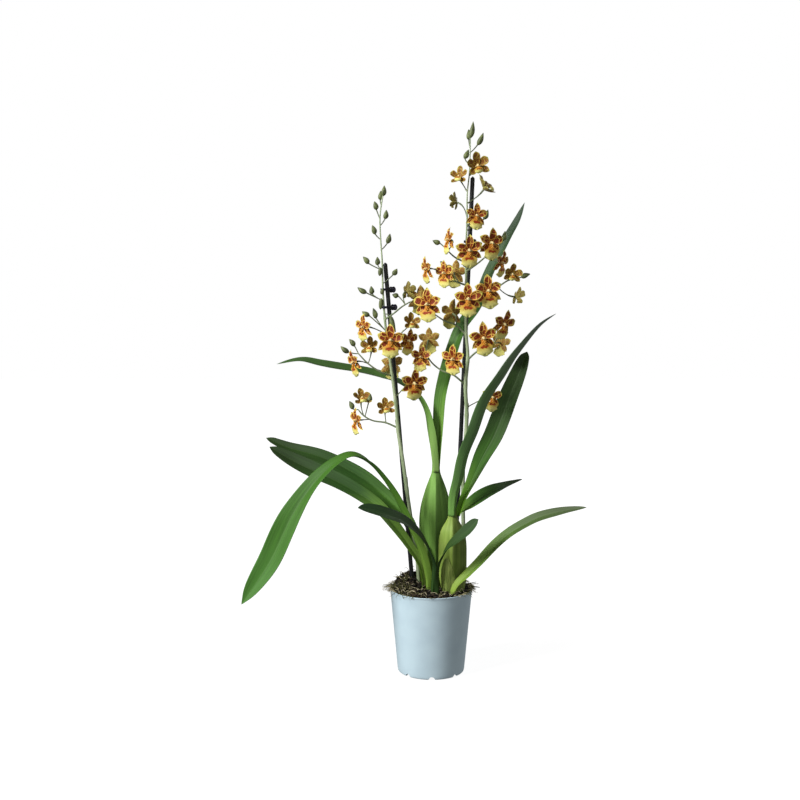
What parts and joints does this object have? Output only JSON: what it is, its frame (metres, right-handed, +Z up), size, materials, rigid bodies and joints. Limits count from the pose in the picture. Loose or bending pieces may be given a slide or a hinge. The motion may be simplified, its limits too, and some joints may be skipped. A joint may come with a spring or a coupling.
{
  "type": "potted orchid",
  "caption": "Potted two-spike tiger-flowered orchid with pseudobulbs, strap leaves, staked stems and a tapered plastic pot of bark.",
  "frame": {"origin": "centre of the pot's base, on the surface it stands on", "axes": "+Z up through the pot's centre; -Y is the plant's front, where most flowers look; +X towards the taller spike"},
  "size_m": [0.4734, 0.1842, 0.7831],
  "materials": {
    "pot": "satin",
    "bark": "matte",
    "stake": "satin",
    "clip": "satin",
    "bulb": "satin",
    "leaf": "satin",
    "stem": "satin",
    "petal": "matte"
  },
  "bodies": {
    "root": {"pot": "pot", "bark_mix": "bark", "stake_left": "stake", "stake_right": "stake", "clip_left_lower": "clip", "clip_left_upper": "clip", "clip_right": "clip", "pseudobulb_back": "bulb", "pseudobulb_front": "bulb", "leaf_drooping_left": "leaf", "leaf_back_left": "leaf", "leaf_low_back_left": "leaf", "leaf_short_front_left": "leaf", "leaf_arching_left": "leaf", "leaf_upright_centre": "leaf", "leaf_long_right": "leaf", "leaf_broad_right": "leaf", "leaf_short_right": "leaf", "leaf_young_front": "leaf", "leaf_low_right": "leaf", "flower_spike_left": "stem", "flower_spike_right": "stem", "flower_left_01": "petal", "flower_left_02": "petal", "flower_left_03": "petal", "flower_left_04": "petal", "flower_left_05": "petal", "flower_left_06": "petal", "flower_left_07": "petal", "flower_left_08": "petal", "flower_left_09": "petal", "flower_left_10": "petal", "flower_left_11": "petal", "flower_left_12": "petal", "flower_left_13": "petal", "flower_right_01": "petal", "flower_right_02": "petal", "flower_right_03": "petal", "flower_right_04": "petal", "flower_right_05": "petal", "flower_right_06": "petal", "flower_right_07": "petal", "flower_right_08": "petal", "flower_right_09": "petal", "flower_right_10": "petal", "flower_right_11": "petal", "flower_right_12": "petal", "flower_right_13": "petal", "flower_right_14": "petal", "flower_right_15": "petal", "flower_right_16": "petal", "flower_right_17": "petal", "flower_right_18": "petal", "flower_right_19": "petal", "flower_right_20": "petal", "flower_right_21": "petal", "flower_right_22": "petal", "flower_right_23": "petal", "flower_right_24": "petal", "flower_right_25": "petal"}
  },
  "joints": []
}
